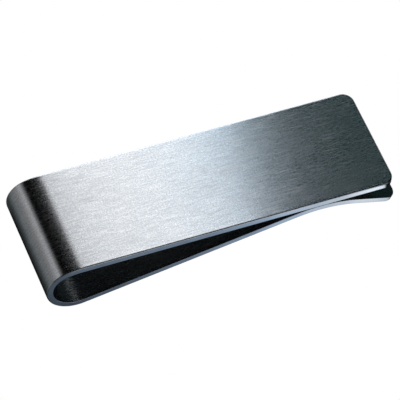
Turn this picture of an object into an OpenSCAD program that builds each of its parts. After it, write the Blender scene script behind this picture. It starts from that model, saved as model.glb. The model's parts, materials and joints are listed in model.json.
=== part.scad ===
// Money clip: one strip of brushed stainless steel, folded into a spring.
// The strip is drawn as the zones that its tools form, in order from the free end of the front leaf:
// front leaf, upper bend, lower bend, back leaf, grip bend, flared lip.
// The zones meet face to face. The clip lies on z = 0 on its lower bend and on the end of its lip.

/* [Strip] */
// Width of the strip
strip_w = 19; // [12:0.5:30]
// Thickness of the strip
strip_t = 1.1; // [0.6:0.1:1.5]
// Radius of the round corners at both free ends, seen from above
corner_r = 1.9; // [0.5:0.1:5]

/* [Front leaf] */
// Length of the flat front leaf, from the bend to its free end
front_len = 54.4; // [40:0.1:80]

/* [Spring bend] */
// Outer radius of the upper part of the bend, next to the front leaf
upper_bend_r = 4.4; // [3.5:0.1:7]
// Outer radius of the lower part of the bend, next to the back leaf
lower_bend_r = 5.5; // [3.5:0.1:7]

/* [Back leaf] */
// Distance from the free end of the front leaf back to the line where the leaves grip
grip_from_end = 12.8; // [10:0.1:18]
// Gap left at the grip line while the clip is closed
grip_gap = 0.05; // [0.02:0.01:0.3]
// Radius of the underside of the grip bend, which turns the strip away from the front leaf again
grip_bend_r = 19.6; // [6:0.2:28]
// Angle between the lip and the front leaf
lip_angle = 18.8; // [10:0.1:28]
// Length by which the lip reaches past the front leaf
lip_overhang = 0.8; // [0:0.1:4]

/* [Hidden] */
$fn = 96;
steel = [0.66, 0.68, 0.70];

// The leaf frame: x runs along the front leaf from its tangent with the bend, and z = 0 is its outer face.
// Points and directions are [x, z] pairs, and angles turn from +x towards +z.
function unit(a) = [cos(a), sin(a)];
// Turns a leaf-frame vector by the angle at which the clip lies.
function tilted(v) = v[0] * unit(-rest_tilt) + v[1] * unit(90 - rest_tilt);

// Centres of the three round bends
upper_centre = [0, -upper_bend_r];
lower_centre = [lower_bend_r - upper_bend_r, -upper_bend_r];
grip_centre = [front_len - grip_from_end, -2 * strip_t - grip_gap - grip_bend_r];

// Slope of the back leaf: the line that touches the lower bend's inside and the grip bend's top
leaf_span = lower_centre - grip_centre;
inner_radii = lower_bend_r - strip_t + grip_bend_r + strip_t;
back_slope = atan2(leaf_span[1], leaf_span[0]) - 180 + asin(inner_radii / norm(leaf_span));

// Where the outer face of each zone starts, from the lower bend on
back_start = lower_centre + lower_bend_r * unit(back_slope - 90);
grip_start = grip_centre + grip_bend_r * unit(back_slope + 90);
lip_start = grip_centre + grip_bend_r * unit(90 - lip_angle);
back_len = norm(grip_start - back_start);
lip_top_start = lip_start + strip_t * unit(90 - lip_angle);
lip_len = (front_len + lip_overhang - lip_top_start[0]) / cos(lip_angle);
lip_toe = lip_start + lip_len * unit(-lip_angle);

// The clip lies on its lower bend and on the lip's toe, so the front leaf dips towards its free end.
toe_span = lip_toe - lower_centre;
rest_tilt = asin(lower_bend_r / norm(toe_span)) + atan2(toe_span[1], toe_span[0]);

// Row frame: the middle of the clip's length lies over the origin, and its lowest point on z = 0.
low_x = tilted(lower_centre)[0] - lower_bend_r;
high_x = tilted(lip_toe + strip_t * unit(90 - lip_angle))[0];
shift = [-(low_x + high_x) / 2, 0, lower_bend_r - tilted(lower_centre)[1]];

// Puts what is drawn in the leaf frame where the clip lies.
module at_rest() {
    translate(shift) rotate([0, rest_tilt, 0]) children();
}

// Outline of a flat zone seen from above, from x = 0, with round corners at its far end if it is a free end.
module plan(length, free_end) {
    square_len = free_end ? length - corner_r : length;
    translate([0, -strip_w / 2]) square([square_len, strip_w]);
    if (free_end) {
        translate([0, corner_r - strip_w / 2]) square([length, strip_w - 2 * corner_r]);
        for (side = [-1, 1])
            translate([square_len, side * (strip_w / 2 - corner_r)]) circle(r = corner_r);
    }
}

// Flat zone that leaves a point on its underside at an angle, with its thickness above the underside.
module flat_zone(start, angle, length, free_end = false) {
    translate([start[0], 0, start[1]]) rotate([0, -angle, 0])
        linear_extrude(strip_t) plan(length, free_end);
}

// Round zone about a centre, between two angles, from its inner radius out by the thickness.
module round_zone(centre, inner_r, from, to) {
    translate([centre[0], 0, centre[1]]) rotate([90, 0, 0]) rotate([0, 0, from])
        rotate_extrude(angle = to - from) translate([inner_r, -strip_w / 2]) square([strip_t, strip_w]);
}

// Flat show face of the clip
module front_leaf() {
    color(steel) at_rest() flat_zone([0, -strip_t], 0, front_len, free_end = true);
}

// First quarter of the spring bend
module upper_bend() {
    color(steel) at_rest() round_zone(upper_centre, upper_bend_r - strip_t, 90, 180);
}

// Rest of the spring bend, which turns past the half circle until it points along the back leaf
module lower_bend() {
    color(steel) at_rest() round_zone(lower_centre, lower_bend_r - strip_t, 180, 270 + back_slope);
}

// Straight spring arm behind the front leaf
module back_leaf() {
    color(steel) at_rest() flat_zone(back_start, back_slope, back_len);
}

// Reverse bend whose crest presses on the back of the front leaf
module grip_bend() {
    color(steel) at_rest() round_zone(grip_centre, grip_bend_r, 90 - lip_angle, 90 + back_slope);
}

// Lead-in that guides the notes under the front leaf
module flared_lip() {
    color(steel) at_rest() flat_zone(lip_start, -lip_angle, lip_len, free_end = true);
}

front_leaf();
upper_bend();
lower_bend();
back_leaf();
grip_bend();
flared_lip();
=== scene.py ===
"""Looks of the money clip: one strip of brushed steel that follows the clip's line.

The strip is cut across into one piece per CAD node. The lower bend's piece rides on its own body, the grip
bend's and the lip's on the back arm, and the rest stay where they are. Lengths are in metres and angles in
radians, unless a comment says otherwise.
"""
import json
import math

import bpy
import numpy as np
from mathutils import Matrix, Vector


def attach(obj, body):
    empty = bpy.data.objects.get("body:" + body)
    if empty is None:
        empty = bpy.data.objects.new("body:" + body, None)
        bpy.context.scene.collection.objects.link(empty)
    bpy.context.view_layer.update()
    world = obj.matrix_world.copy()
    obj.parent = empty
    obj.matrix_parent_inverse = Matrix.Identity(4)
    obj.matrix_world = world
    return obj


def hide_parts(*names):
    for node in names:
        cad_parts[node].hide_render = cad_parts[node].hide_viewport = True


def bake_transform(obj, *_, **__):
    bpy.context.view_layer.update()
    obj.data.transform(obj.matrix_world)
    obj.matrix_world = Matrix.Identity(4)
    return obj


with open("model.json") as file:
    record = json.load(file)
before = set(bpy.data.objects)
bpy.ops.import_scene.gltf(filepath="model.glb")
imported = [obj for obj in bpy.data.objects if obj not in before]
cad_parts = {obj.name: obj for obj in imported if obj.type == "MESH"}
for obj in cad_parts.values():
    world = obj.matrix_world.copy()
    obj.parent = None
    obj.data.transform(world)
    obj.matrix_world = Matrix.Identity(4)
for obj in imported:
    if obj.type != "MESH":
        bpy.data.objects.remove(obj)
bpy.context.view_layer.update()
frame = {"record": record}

MM = 0.001

# Driving dimensions, the same as the CAD model's
STRIP_W = 19 * MM
STRIP_T = 1.1 * MM
CORNER_R = 1.9 * MM
FRONT_LEN = 54.4 * MM
UPPER_BEND_R = 4.4 * MM
LOWER_BEND_R = 5.5 * MM
GRIP_FROM_END = 12.8 * MM
GRIP_GAP = 0.05 * MM
GRIP_BEND_R = 19.6 * MM
LIP_ANGLE = math.radians(18.8)
LIP_OVERHANG = 0.8 * MM

# Rounding of the edges at the outer face, its share at the inner face, and how finely the strip is divided
EDGE_INSET = 0.28 * MM
EDGE_DEPTH = 0.24 * MM
INNER_EDGE = 0.35
EDGE_STEPS = 6
CORNER_STEPS = 14
COLUMNS = 12
FLAT_STEP = 0.6 * MM
ARC_STEP = math.radians(2.5)

# Length along a leaf beside its joint, and the part of the upper bend's turn before its end
BLEND_LEN = 6 * MM
BEND_BLEND = math.radians(55)

# Material slot of each kind of face: the outer face, the inner face, which gets a darker copy of the steel as
# painted shade, and the cut sides and ends
SLOT_OF_KIND = {"outer": 0, "inner": 1, "edge": 2, "start": 2, "end": 2}

# The front leaf runs gently into the bend: how far its curve is spread, and over what distance this fades
EASE = 2.1 * MM
EASE_REACH = 5 * MM
EASE_SAMPLES = 21
SLOPE_STEP = 0.02 * MM

# Light tent's radius and half length, and its radiance by the angle round the clip from +x, in degrees
TENT_R = 0.13
TENT_LEN = 1.0
TENT_STOPS = [(40, 0.04), (58, 0.045), (63, 0.07), (64.4, 1.5), (81, 1.5), (83, 0.0), (118, 0.0),
              (129, 0.20), (137, 0.50), (147, 0.44), (157, 0.30), (167, 0.235), (180, 0.22)]
# Lean of the softbox's right edge, in degrees of that angle per metre along y, and the y where it is unmoved
SOFTBOX_LEAN = 80
TENT_MID = 0.08
# Share of that radiance in front of the clip, and radiance of a second softbox behind it on the right
TENT_FRONT = 0.08
BACK_GLOW = 3.5
# Tent's colours
TENT_TEAL = (0.40, 1.0, 1.04, 1)
TENT_BLUE = (0.78, 0.98, 1.20, 1)
TENT_NEUTRAL = (1.0, 0.985, 0.985, 1)
# Radiance of the tent's far front by the same angle, which lights the clip when it is seen from behind
FAR_STOPS = [(0, 0.5), (60, 0.8), (92, 0.05), (140, 0.03), (180, 0.4)]
# Tabletop's radiance by x in mm: added in front of the clip, added behind it, and everywhere
FRONT_STOPS = [(-31, 0.04), (-26, 0.14), (-20, 0.22), (-5, 0.30), (5, 0.42), (12, 0.70), (20, 0.85),
               (28.5, 1.30), (30.5, 0.0)]
BEHIND_STOPS = [(-36, 0.0), (-24, 0.20), (5, 0.40), (30, 0.30)]
SIDE_STOPS = [(-96, 0.225), (-56, 0.18), (-40, 0.07), (-33.5, 0.02), (-30, 0.005), (42, 0.005), (60, 0.25)]
# Half size of the floor and the tabletop, and how far the tabletop lies below the floor
FLOOR_HALF = 3.0
TABLETOP_DROP = 0.3 * MM
WHITE = (1, 1, 1, 1)


# ---------------------------------------------------------------- the clip's line

def unit(angle):
    """Direction in the leaf frame, [x, z], at an angle from +x towards +z."""
    return np.array([math.cos(angle), math.sin(angle)])


def angle_of(v):
    """Angle of a leaf-frame vector from +x towards +z."""
    return math.atan2(v[1], v[0])


def clip_line():
    """Zones from the front leaf's free end on: (node, length of the outer face, turn to the inside)."""
    lower_centre = np.array([LOWER_BEND_R - UPPER_BEND_R, -UPPER_BEND_R])
    grip_centre = np.array([FRONT_LEN - GRIP_FROM_END, -2 * STRIP_T - GRIP_GAP - GRIP_BEND_R])
    span = grip_centre - lower_centre
    slope = angle_of(span) + math.asin((LOWER_BEND_R + GRIP_BEND_R) / np.linalg.norm(span))
    back_start = lower_centre + LOWER_BEND_R * unit(slope - math.pi / 2)
    grip_start = grip_centre + GRIP_BEND_R * unit(slope + math.pi / 2)
    lip_top = grip_centre + (GRIP_BEND_R + STRIP_T) * unit(math.pi / 2 - LIP_ANGLE)
    lip_len = (FRONT_LEN + LIP_OVERHANG - lip_top[0]) / math.cos(LIP_ANGLE)
    quarter = math.pi / 2
    return [
        ("front_leaf", FRONT_LEN, 0.0),
        ("upper_bend", UPPER_BEND_R * quarter, quarter),
        ("lower_bend", LOWER_BEND_R * (quarter + slope), quarter + slope),
        ("back_leaf", float(np.linalg.norm(grip_start - back_start)), 0.0),
        ("grip_bend", GRIP_BEND_R * (slope + LIP_ANGLE), -(slope + LIP_ANGLE)),
        ("flared_lip", lip_len, 0.0),
    ]


ZONES = clip_line()
STARTS = np.cumsum([0.0] + [length for _, length, _ in ZONES])
STRIP_LEN = float(STARTS[-1])
joint = {j["name"]: j for j in frame["record"]["behaviour"]["joints"]}
mount = {m["name"]: m for m in frame["record"]["mounts"]}


def along(s):
    """Outer face's point [x, z] in the leaf frame and heading angle at a distance s along the strip."""
    point, heading = np.array([FRONT_LEN, 0.0]), math.pi
    for (_, length, turn), start in zip(ZONES, STARTS):
        run = min(max(s - start, 0.0), length)
        if turn:
            bend = turn / length
            end = heading + bend * run
            chord = np.array([math.sin(end) - math.sin(heading), math.cos(heading) - math.cos(end)])
            point = point + chord / bend
            heading = end
        else:
            point = point + run * unit(heading)
    return point, heading


def eased(s):
    """Like along(s), but with the front leaf's flat running gently into the bend."""
    def point(at):
        away = min(abs(at - STARTS[1]) / EASE_REACH, 1.0)
        spread = EASE * (1 - away * away * (3 - 2 * away))
        samples = [along(at + spread * step)[0] for step in np.linspace(-1, 1, EASE_SAMPLES)]
        return np.mean(samples, axis=0)

    if abs(s - STARTS[1]) >= EASE_REACH:
        return along(s)
    return point(s), angle_of(point(s + SLOPE_STEP) - point(s - SLOPE_STEP))


# The leaf frame's origin is the front joint, and the front face's normal says how the clip lies.
LEAF_ORIGIN = np.array(joint["front_flex"]["pos_m"])
UP_X, _, UP_Z = mount["front_face"]["axis"]
LEAF_X = np.array([UP_Z, 0.0, -UP_X])
LEAF_Z = np.array([UP_X, 0.0, UP_Z])
ACROSS = np.array([0.0, 1.0, 0.0])


def to_row(v):
    """Turns a leaf-frame vector [x, z] into the row frame."""
    return v[0] * LEAF_X + v[1] * LEAF_Z


def station(s):
    """Origin, direction along the strip and outward normal, in the row frame, at a distance s along it."""
    point, heading = eased(s)
    return LEAF_ORIGIN + to_row(point), to_row(unit(heading)), to_row(unit(heading - math.pi / 2))


# ---------------------------------------------------------------- the strip's meshes

def edge_profile():
    """Steps round an edge, outer face to inner: (inset, depth, angle of the normal from outwards)."""
    turns = [math.pi / 2 * i / EDGE_STEPS for i in range(EDGE_STEPS + 1)]
    outer = [(EDGE_INSET * (1 - math.sin(t)), EDGE_DEPTH * (1 - math.cos(t)),
              math.atan2(EDGE_DEPTH * math.sin(t), EDGE_INSET * math.cos(t))) for t in turns]
    inner = [(INNER_EDGE * inset, STRIP_T - INNER_EDGE * depth, math.pi - angle)
             for inset, depth, angle in reversed(outer)]
    return outer + inner


def rows_between(start, end, turn):
    """Rows across the strip, and whether its start and its end are free.

    A row is (s, half width, corner radius, corner direction along s, corner direction across).
    """
    free_start, free_end = start == 0.0, end == STRIP_LEN
    corner = [math.pi / 2 * i / CORNER_STEPS for i in range(CORNER_STEPS)]
    low = start + CORNER_R if free_start else start
    high = end - CORNER_R if free_end else end
    count = max(2, math.ceil((high - low) / FLAT_STEP), math.ceil(abs(turn) / ARC_STEP))
    rows = [(s, STRIP_W / 2, 0.0, 0.0, 1.0) for s in np.linspace(low, high, count + 1)]
    inner_w = STRIP_W / 2 - CORNER_R
    if free_start:
        rows = [(low, inner_w, CORNER_R, -math.cos(a), math.sin(a)) for a in corner] + rows
    if free_end:
        rows += [(high, inner_w, CORNER_R, math.cos(a), math.sin(a)) for a in reversed(corner)]
    return rows, free_start, free_end


def strip_mesh(name, start, end, turn):
    """Closed mesh of the strip between two cuts, with exact normals and a map (across, along) in metres."""
    rows, free_start, free_end = rows_between(start, end, turn)
    edge = edge_profile()
    last_row, last_step = len(rows) - 1, len(edge) - 1
    columns = range(-COLUMNS, COLUMNS + 1)
    points, normals, places, index = [], [], [], {}
    for i, (s_row, half_row, radius, corner_along, corner_across) in enumerate(rows):
        free_row = (free_start and i == 0) or (free_end and i == last_row)
        for k, (inset, depth, angle) in enumerate(edge):
            s = s_row + (radius - inset) * corner_along
            half = half_row + (radius - inset) * corner_across
            origin, forward, outward = station(s)
            for j in columns:
                if k not in (0, last_step) and abs(j) != COLUMNS and not free_row:
                    continue
                side = (j > 0) - (j < 0) if abs(j) == COLUMNS else 0
                y = half * j / COLUMNS
                rim = corner_along * forward + side * corner_across * ACROSS
                index[i, j, k] = len(points)
                points.append(origin - depth * outward + y * ACROSS)
                normals.append(math.cos(angle) * outward + math.sin(angle) * rim)
                places.append((y, s))
    faces, kinds = strip_faces(index, last_row, last_step, free_start, free_end)
    cap_normals = {"start": -station(start)[1], "end": station(end)[1]}
    return make_mesh(name, points, normals, places, faces, kinds, cap_normals)


def strip_faces(index, last_row, last_step, free_start, free_end):
    """Faces of the strip by vertex number, and each one's kind: outer, inner, edge, start or end."""
    faces, kinds = [], []

    def add(kind, *keys):
        faces.append([index[key] for key in keys])
        kinds.append(kind)

    for i in range(last_row):
        for j in range(-COLUMNS, COLUMNS):
            add("outer", (i, j, 0), (i + 1, j, 0), (i + 1, j + 1, 0), (i, j + 1, 0))
            add("inner", (i, j, last_step), (i, j + 1, last_step),
                (i + 1, j + 1, last_step), (i + 1, j, last_step))
        for k in range(last_step):
            for j in (-COLUMNS, COLUMNS):
                add("edge", (i, j, k), (i + 1, j, k), (i + 1, j, k + 1), (i, j, k + 1))
    for i, free, kind in ((0, free_start, "start"), (last_row, free_end, "end")):
        for j in range(-COLUMNS, COLUMNS):
            steps = range(last_step) if free else []
            for k in steps:
                add("edge", (i, j, k), (i, j + 1, k), (i, j + 1, k + 1), (i, j, k + 1))
            if not free and -COLUMNS < j < COLUMNS - 1:
                add(kind, (i, j, 0), (i, j + 1, 0), (i, j + 1, last_step), (i, j, last_step))
        if not free:
            for j, next_j in ((-COLUMNS, 1 - COLUMNS), (COLUMNS, COLUMNS - 1)):
                side = [(i, j, k) for k in range(last_step + 1)]
                add(kind, *side, (i, next_j, last_step), (i, next_j, 0))
    return faces, kinds


def make_mesh(name, points, normals, places, faces, kinds, cap_normals):
    """Mesh object with faces turned outwards, normals set corner by corner, and its map named grain."""
    points, normals = np.array(points), np.array(normals)
    corner_normals, corner_places, turned = [], [], []
    for face, kind in zip(faces, kinds):
        spots = points[face]
        geometric = np.zeros(3)
        for a, b in zip(spots, np.roll(spots, -1, axis=0)):
            geometric += np.cross(a - spots[0], b - spots[0])
        wanted = cap_normals.get(kind)
        target = normals[face].mean(axis=0) if wanted is None else wanted
        face = face if np.dot(geometric, target) > 0 else face[::-1]
        turned.append(face)
        corner_normals += [normals[v] if wanted is None else wanted for v in face]
        corner_places += [places[v] for v in face]
    mesh = bpy.data.meshes.new(name)
    mesh.from_pydata([tuple(p) for p in points], [], turned)
    mesh.shade_smooth()
    grain = mesh.uv_layers.new(name="grain")
    grain.uv.foreach_set("vector", np.array(corner_places, np.float32).ravel())
    mesh.polygons.foreach_set("material_index", [SLOT_OF_KIND[kind] for kind in kinds])
    mesh.update()
    mesh.normals_split_custom_set([tuple(n) for n in corner_normals])
    piece = bpy.data.objects.new(name, mesh)
    bpy.context.scene.collection.objects.link(piece)
    return piece


# ---------------------------------------------------------------- materials

class Nodes:
    """Short way to add nodes to a node tree and link them."""

    def __init__(self, tree):
        self.tree = tree
        tree.nodes.clear()

    def add(self, kind, inputs=None, **settings):
        node = self.tree.nodes.new(kind)
        for key, value in settings.items():
            setattr(node, key, value)
        for key, value in (inputs or {}).items():
            if isinstance(value, bpy.types.NodeSocket):
                self.tree.links.new(value, node.inputs[key])
            else:
                node.inputs[key].default_value = value
        return node

    def math(self, operation, a, b=0.0):
        return self.add("ShaderNodeMath", {0: a, 1: b}, operation=operation).outputs[0]

    def scaled(self, vector, scale):
        return self.add("ShaderNodeMapping", {"Vector": vector, "Scale": scale}).outputs[0]

    def noise(self, vector, scale=1.0, detail=2.0, roughness=0.5):
        inputs = {"Vector": vector, "Scale": scale, "Detail": detail, "Roughness": roughness}
        return self.add("ShaderNodeTexNoise", inputs).outputs["Fac"]

    def ramp(self, value, low, high, to_low=0.0, to_high=1.0):
        """Smooth step from to_low at low to to_high at high."""
        inputs = {"Value": value, "From Min": low, "From Max": high, "To Min": to_low, "To Max": to_high}
        return self.add("ShaderNodeMapRange", inputs, interpolation_type="SMOOTHSTEP").outputs[0]

    def mix(self, factor, a, b):
        inputs = {"Factor": factor, 6: a, 7: b}
        return self.add("ShaderNodeMix", inputs, data_type="RGBA").outputs[2]


def brushed_material(name, dark, light, marks, relief):
    """A face of the strip: grain brushed along it in two tones, with pale scratches and smoother rims."""
    material = bpy.data.materials.new(name)
    material.use_nodes = True
    n = Nodes(material.node_tree)
    place = n.add("ShaderNodeUVMap", uv_map="grain").outputs[0]
    across, down_strip, _ = n.add("ShaderNodeSeparateXYZ", {0: place}).outputs

    # Patterns: features per metre across the strip and along it
    grain = n.noise(n.scaled(place, (9000, 900, 1)))
    streak = n.noise(n.scaled(place, (4200, 260, 1)))
    fleck = n.noise(n.scaled(place, (4800, 3700, 1)), detail=1, roughness=0.6)
    cloud = n.noise(n.scaled(place, (90, 60, 1)))
    scratch = n.ramp(n.noise(n.scaled(place, (5200, 220, 1))), 0.58, 0.68)
    to_side = n.math("SUBTRACT", STRIP_W / 2, n.math("ABSOLUTE", across))
    rim = n.ramp(to_side, 0.0, 0.9 * MM, 1.0, 0.0)

    tone = n.math("ADD", n.math("MULTIPLY", fleck, 0.6), n.math("MULTIPLY", streak, 0.4))
    colour = n.mix(n.ramp(tone, 0.42, 0.61), dark, light)
    colour = n.mix(n.math("MULTIPLY", scratch, 0.6), colour, marks)

    rough = n.ramp(grain, 0.3, 0.7, 0.26, 0.31)
    rough = n.math("ADD", rough, n.ramp(cloud, 0.3, 0.7, -0.015, 0.015))
    rough = n.math("SUBTRACT", rough, n.math("MULTIPLY", rim, 0.05))
    rough = n.math("ADD", rough, n.math("MULTIPLY", scratch, 0.12))

    # The relief is shallower from the bend on.
    height = n.math("ADD", n.math("MULTIPLY", grain, 0.4), n.math("MULTIPLY", fleck, 0.45))
    height = n.math("ADD", height, n.math("MULTIPLY", scratch, 0.4))
    depth = n.ramp(down_strip, FRONT_LEN - 1 * MM, FRONT_LEN + 1 * MM, 1.0, 0.6)
    height = n.math("MULTIPLY", height, depth)
    bump = n.add("ShaderNodeBump", {"Strength": 1.0, "Distance": relief, "Height": height}).outputs[0]
    tangent = n.add("ShaderNodeTangent", direction_type="UV_MAP", uv_map="grain").outputs[0]
    shader = n.add("ShaderNodeBsdfPrincipled", {
        "Base Color": colour, "Metallic": 1.0, "Roughness": rough, "Anisotropic": 0.9,
        "Normal": bump, "Tangent": tangent})
    n.add("ShaderNodeOutputMaterial", {"Surface": shader.outputs[0]})
    return material


def edge_material():
    """Cut sides and ends of the strip: tumbled smooth, with faint dents and no grain of their own."""
    material = bpy.data.materials.new("deburred_edge")
    material.use_nodes = True
    n = Nodes(material.node_tree)
    place = n.add("ShaderNodeTexCoord").outputs["Object"]
    dents = n.noise(place, scale=1500, detail=3)
    cloud = n.noise(place, scale=260)
    colour = n.mix(n.ramp(cloud, 0.3, 0.7), (0.52, 0.565, 0.61, 1), (0.62, 0.66, 0.70, 1))
    rough = n.ramp(dents, 0.3, 0.7, 0.20, 0.28)
    bump = n.add("ShaderNodeBump", {"Strength": 1.0, "Distance": 6e-6, "Height": dents}).outputs[0]
    shader = n.add("ShaderNodeBsdfPrincipled", {
        "Base Color": colour, "Metallic": 1.0, "Roughness": rough, "Normal": bump})
    n.add("ShaderNodeOutputMaterial", {"Surface": shader.outputs[0]})
    return material


# ---------------------------------------------------------------- the clip

def make_clip():
    """One piece per node, cut where the zones meet. The lower bend's piece rides on its own body, the grip
    bend's and the lip's on the back arm, and the rest stay where they are.
    """
    shown = brushed_material("brushed_steel", dark=(0.52, 0.55, 0.58, 1), light=(0.71, 0.735, 0.76, 1),
                             marks=(0.86, 0.88, 0.90, 1), relief=5e-6)
    # Inner faces: the same brushed steel in much darker tones, painted shade for the dim space between the
    # leaves
    shaded_inner = brushed_material("inner_steel_painted_shade", dark=(0.20, 0.22, 0.23, 1), light=(0.27, 0.29, 0.30, 1),
                              marks=(0.31, 0.33, 0.34, 1), relief=1e-6)
    edges = edge_material()
    pieces = {}
    for (node, length, turn), start in zip(ZONES, STARTS):
        end = STRIP_LEN if node == "flared_lip" else start + length
        piece = strip_mesh(node + "_steel", float(start), float(end), turn)
        for material in (shown, shaded_inner, edges):
            piece.data.materials.append(material)
        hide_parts(node)
        pieces[node] = piece

    def at(s):
        return tuple(station(s)[0])

    front_cut, bend_cut, back_cut = (float(start) for start in STARTS[1:4])
    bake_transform(pieces["front_leaf"], "front_arm", "upper_bend",
             start=at(front_cut - BLEND_LEN), end=at(front_cut))
    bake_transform(pieces["upper_bend"], "upper_bend", "lower_bend",
             start=at(bend_cut - UPPER_BEND_R * BEND_BLEND), end=at(bend_cut))
    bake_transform(pieces["back_leaf"], "lower_bend", "back_arm",
             start=at(back_cut), end=at(back_cut + BLEND_LEN))
    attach(pieces["lower_bend"], "lower_bend")
    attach(pieces["grip_bend"], "back_arm")
    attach(pieces["flared_lip"], "back_arm")


# ---------------------------------------------------------------- studio

def through_stops(n, place, stops):
    """Level that runs smoothly through (place, level) stops and stays flat beyond the ends."""
    level = stops[0][1]
    for (low, from_level), (high, to_level) in zip(stops, stops[1:]):
        level = n.math("ADD", n.ramp(place, low, high, 0.0, to_level - from_level), level)
    return level


def glow_only(name, mesh, make_level, make_colour):
    """Stage piece that only gloss sees. Its radiance and its colour are functions of (n, x, y, z)."""
    piece = bpy.data.objects.new(name, mesh)
    bpy.context.scene.collection.objects.link(piece)
    material = bpy.data.materials.new(name)
    material.use_nodes = True
    n = Nodes(material.node_tree)
    place = n.add("ShaderNodeTexCoord").outputs["Object"]
    axes = n.add("ShaderNodeSeparateXYZ", {0: place}).outputs
    glow = n.add("ShaderNodeEmission", {"Color": make_colour(n, *axes), "Strength": make_level(n, *axes)})
    n.add("ShaderNodeOutputMaterial", {"Surface": glow.outputs[0]})
    mesh.materials.append(material)
    piece.visible_camera = False
    piece.visible_diffuse = False
    piece.visible_shadow = False


def sheet_mesh(name, rows):
    """Mesh through rows of points, all rows as long as each other."""
    width = len(rows[0])
    faces = [(i * width + j, i * width + j + 1, (i + 1) * width + j + 1, (i + 1) * width + j)
             for i in range(len(rows) - 1) for j in range(width - 1)]
    mesh = bpy.data.meshes.new(name)
    mesh.from_pydata([tuple(point) for row in rows for point in row], [], faces)
    return mesh


def flat_mesh(name, z):
    """Square mesh of the floor's size at a height."""
    corners = (-FLOOR_HALF, FLOOR_HALF)
    return sheet_mesh(name, [[(x, y, z) for x in corners] for y in corners])


def make_tent():
    """Half tube along y over the clip: softbox on top, black to its left, grey card low on the left."""
    steps = 48
    arch = [math.pi * i / steps for i in range(steps + 1)]
    rows = [[(TENT_R * math.cos(a), y, TENT_R * math.sin(a)) for a in arch] for y in (-TENT_LEN, TENT_LEN)]

    def level(n, x, y, z):
        angle = n.math("DEGREES", n.math("ARCTAN2", z, x))
        # Round the clip: dimmer in front, where the grey card reaches further forward than the rest
        lean = n.math("MULTIPLY", n.math("SUBTRACT", y, TENT_MID), n.ramp(angle, 66, 76, SOFTBOX_LEAN, 0.0))
        round_clip = through_stops(n, n.math("ADD", angle, lean), TENT_STOPS)
        low_left = n.math("ADD", y, n.ramp(angle, 120, 135, 0.0, 0.05))
        near = n.math("MULTIPLY", round_clip, n.ramp(low_left, -0.01, 0.03, TENT_FRONT, 1.0))
        # Second softbox, behind the clip and low on the right
        behind = n.math("MULTIPLY", n.ramp(y, 0.24, 0.28, 0.0, BACK_GLOW), n.ramp(angle, 62, 56))
        # Far front, which starts nearer the clip low on the right
        reach = n.math("SUBTRACT", y, n.ramp(angle, 35, 55, 0.12, 0.0))
        far = n.math("MULTIPLY", n.ramp(reach, -0.28, -0.18, 1.0, 0.0), through_stops(n, angle, FAR_STOPS))
        return n.math("ADD", n.math("ADD", near, behind), far)

    def colour(n, x, y, z):
        angle = n.math("DEGREES", n.math("ARCTAN2", z, x))
        # Teal low on the right, then blue up to the softbox, and neutral beyond it and away from the clip
        tint = n.mix(n.ramp(angle, 58, 63), TENT_TEAL, TENT_BLUE)
        away = n.math("ABSOLUTE", n.math("SUBTRACT", y, TENT_MID))
        neutral = n.math("MAXIMUM", n.ramp(angle, 64.3, 68.5), n.ramp(away, 0.12, 0.16))
        return n.mix(neutral, tint, TENT_NEUTRAL)

    glow_only("light_tent", sheet_mesh("light_tent", rows), level, colour)


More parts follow.
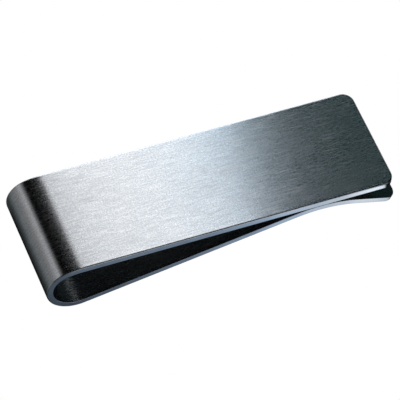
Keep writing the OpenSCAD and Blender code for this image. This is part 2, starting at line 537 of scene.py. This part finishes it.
def make_floor():
    """White floor that the clip's gloss doesn't see, and under it the tabletop that only its gloss sees."""
    floor = bpy.data.objects.new("floor", flat_mesh("floor", 0.0))
    bpy.context.scene.collection.objects.link(floor)
    material = bpy.data.materials.new("floor_white")
    material.use_nodes = True
    n = Nodes(material.node_tree)
    white = n.add("ShaderNodeEmission", {"Color": WHITE, "Strength": 1.0})
    n.add("ShaderNodeOutputMaterial", {"Surface": white.outputs[0]})
    floor.data.materials.append(material)
    floor.visible_glossy = False

    def by_x(n, x, stops):
        return through_stops(n, x, [(place * MM, level) for place, level in stops])

    def level(n, x, y, z):
        # In front it starts at the clip's side and is dimmer right beside it.
        in_front = n.math("MULTIPLY", n.ramp(y, -9.6 * MM, -9.0 * MM, 1.0, 0.0),
                          n.ramp(y, -12.5 * MM, -9.8 * MM, 1.0, 0.6))
        in_back = n.ramp(y, 10.5 * MM, 12.5 * MM)
        front = n.math("MULTIPLY", by_x(n, x, FRONT_STOPS), in_front)
        back = n.math("MULTIPLY", by_x(n, x, BEHIND_STOPS), in_back)
        return n.math("ADD", by_x(n, x, SIDE_STOPS), n.math("ADD", front, back))

    def colour(n, x, y, z):
        blue = n.mix(n.ramp(x, 5 * MM, 25 * MM), (0.78, 0.97, 1.22, 1), (0.95, 1.0, 1.06, 1))
        return n.mix(n.ramp(x, -34 * MM, -28 * MM), (0.90, 0.99, 1.0, 1), blue)

    glow_only("tabletop", flat_mesh("tabletop", -TABLETOP_DROP), level, colour)


def make_world():
    """White for the camera, and a plain dim room for everything else."""
    world = bpy.data.worlds.new("studio")
    bpy.context.scene.world = world
    world.use_nodes = True
    n = Nodes(world.node_tree)
    seen = n.add("ShaderNodeLightPath").outputs["Is Camera Ray"]
    white = n.add("ShaderNodeBackground", {"Color": WHITE, "Strength": 1.0})
    room = n.add("ShaderNodeBackground", {"Color": (0.55, 0.95, 1.0, 1), "Strength": 0.004})
    both = n.add("ShaderNodeMixShader", {0: seen, 1: room.outputs[0], 2: white.outputs[0]})
    n.add("ShaderNodeOutputWorld", {"Surface": both.outputs[0]})


def make_camera():
    """Camera high in front of the clip and a little to its left, with a long lens."""
    azimuth, elevation, distance = math.radians(-21.43), math.radians(55.68), 553.7 * MM
    aim = Vector((0.64, 2.67, -0.9)) * MM
    back = Vector((math.sin(azimuth) * math.cos(elevation), -math.cos(azimuth) * math.cos(elevation),
                   math.sin(elevation)))
    camera = bpy.data.objects.new("camera", bpy.data.cameras.new("camera"))
    bpy.context.scene.collection.objects.link(camera)
    camera.data.lens = 310.5
    camera.data.sensor_width = 36.0
    camera.data.clip_start, camera.data.clip_end = 0.02, 20.0
    camera.location = aim + distance * back
    camera.rotation_mode = "QUATERNION"
    camera.rotation_quaternion = (-back).to_track_quat("-Z", "Y")
    bpy.context.scene.camera = camera


make_clip()
make_floor()
make_tent()
make_world()
make_camera()
bpy.context.scene.view_settings.view_transform = "Standard"
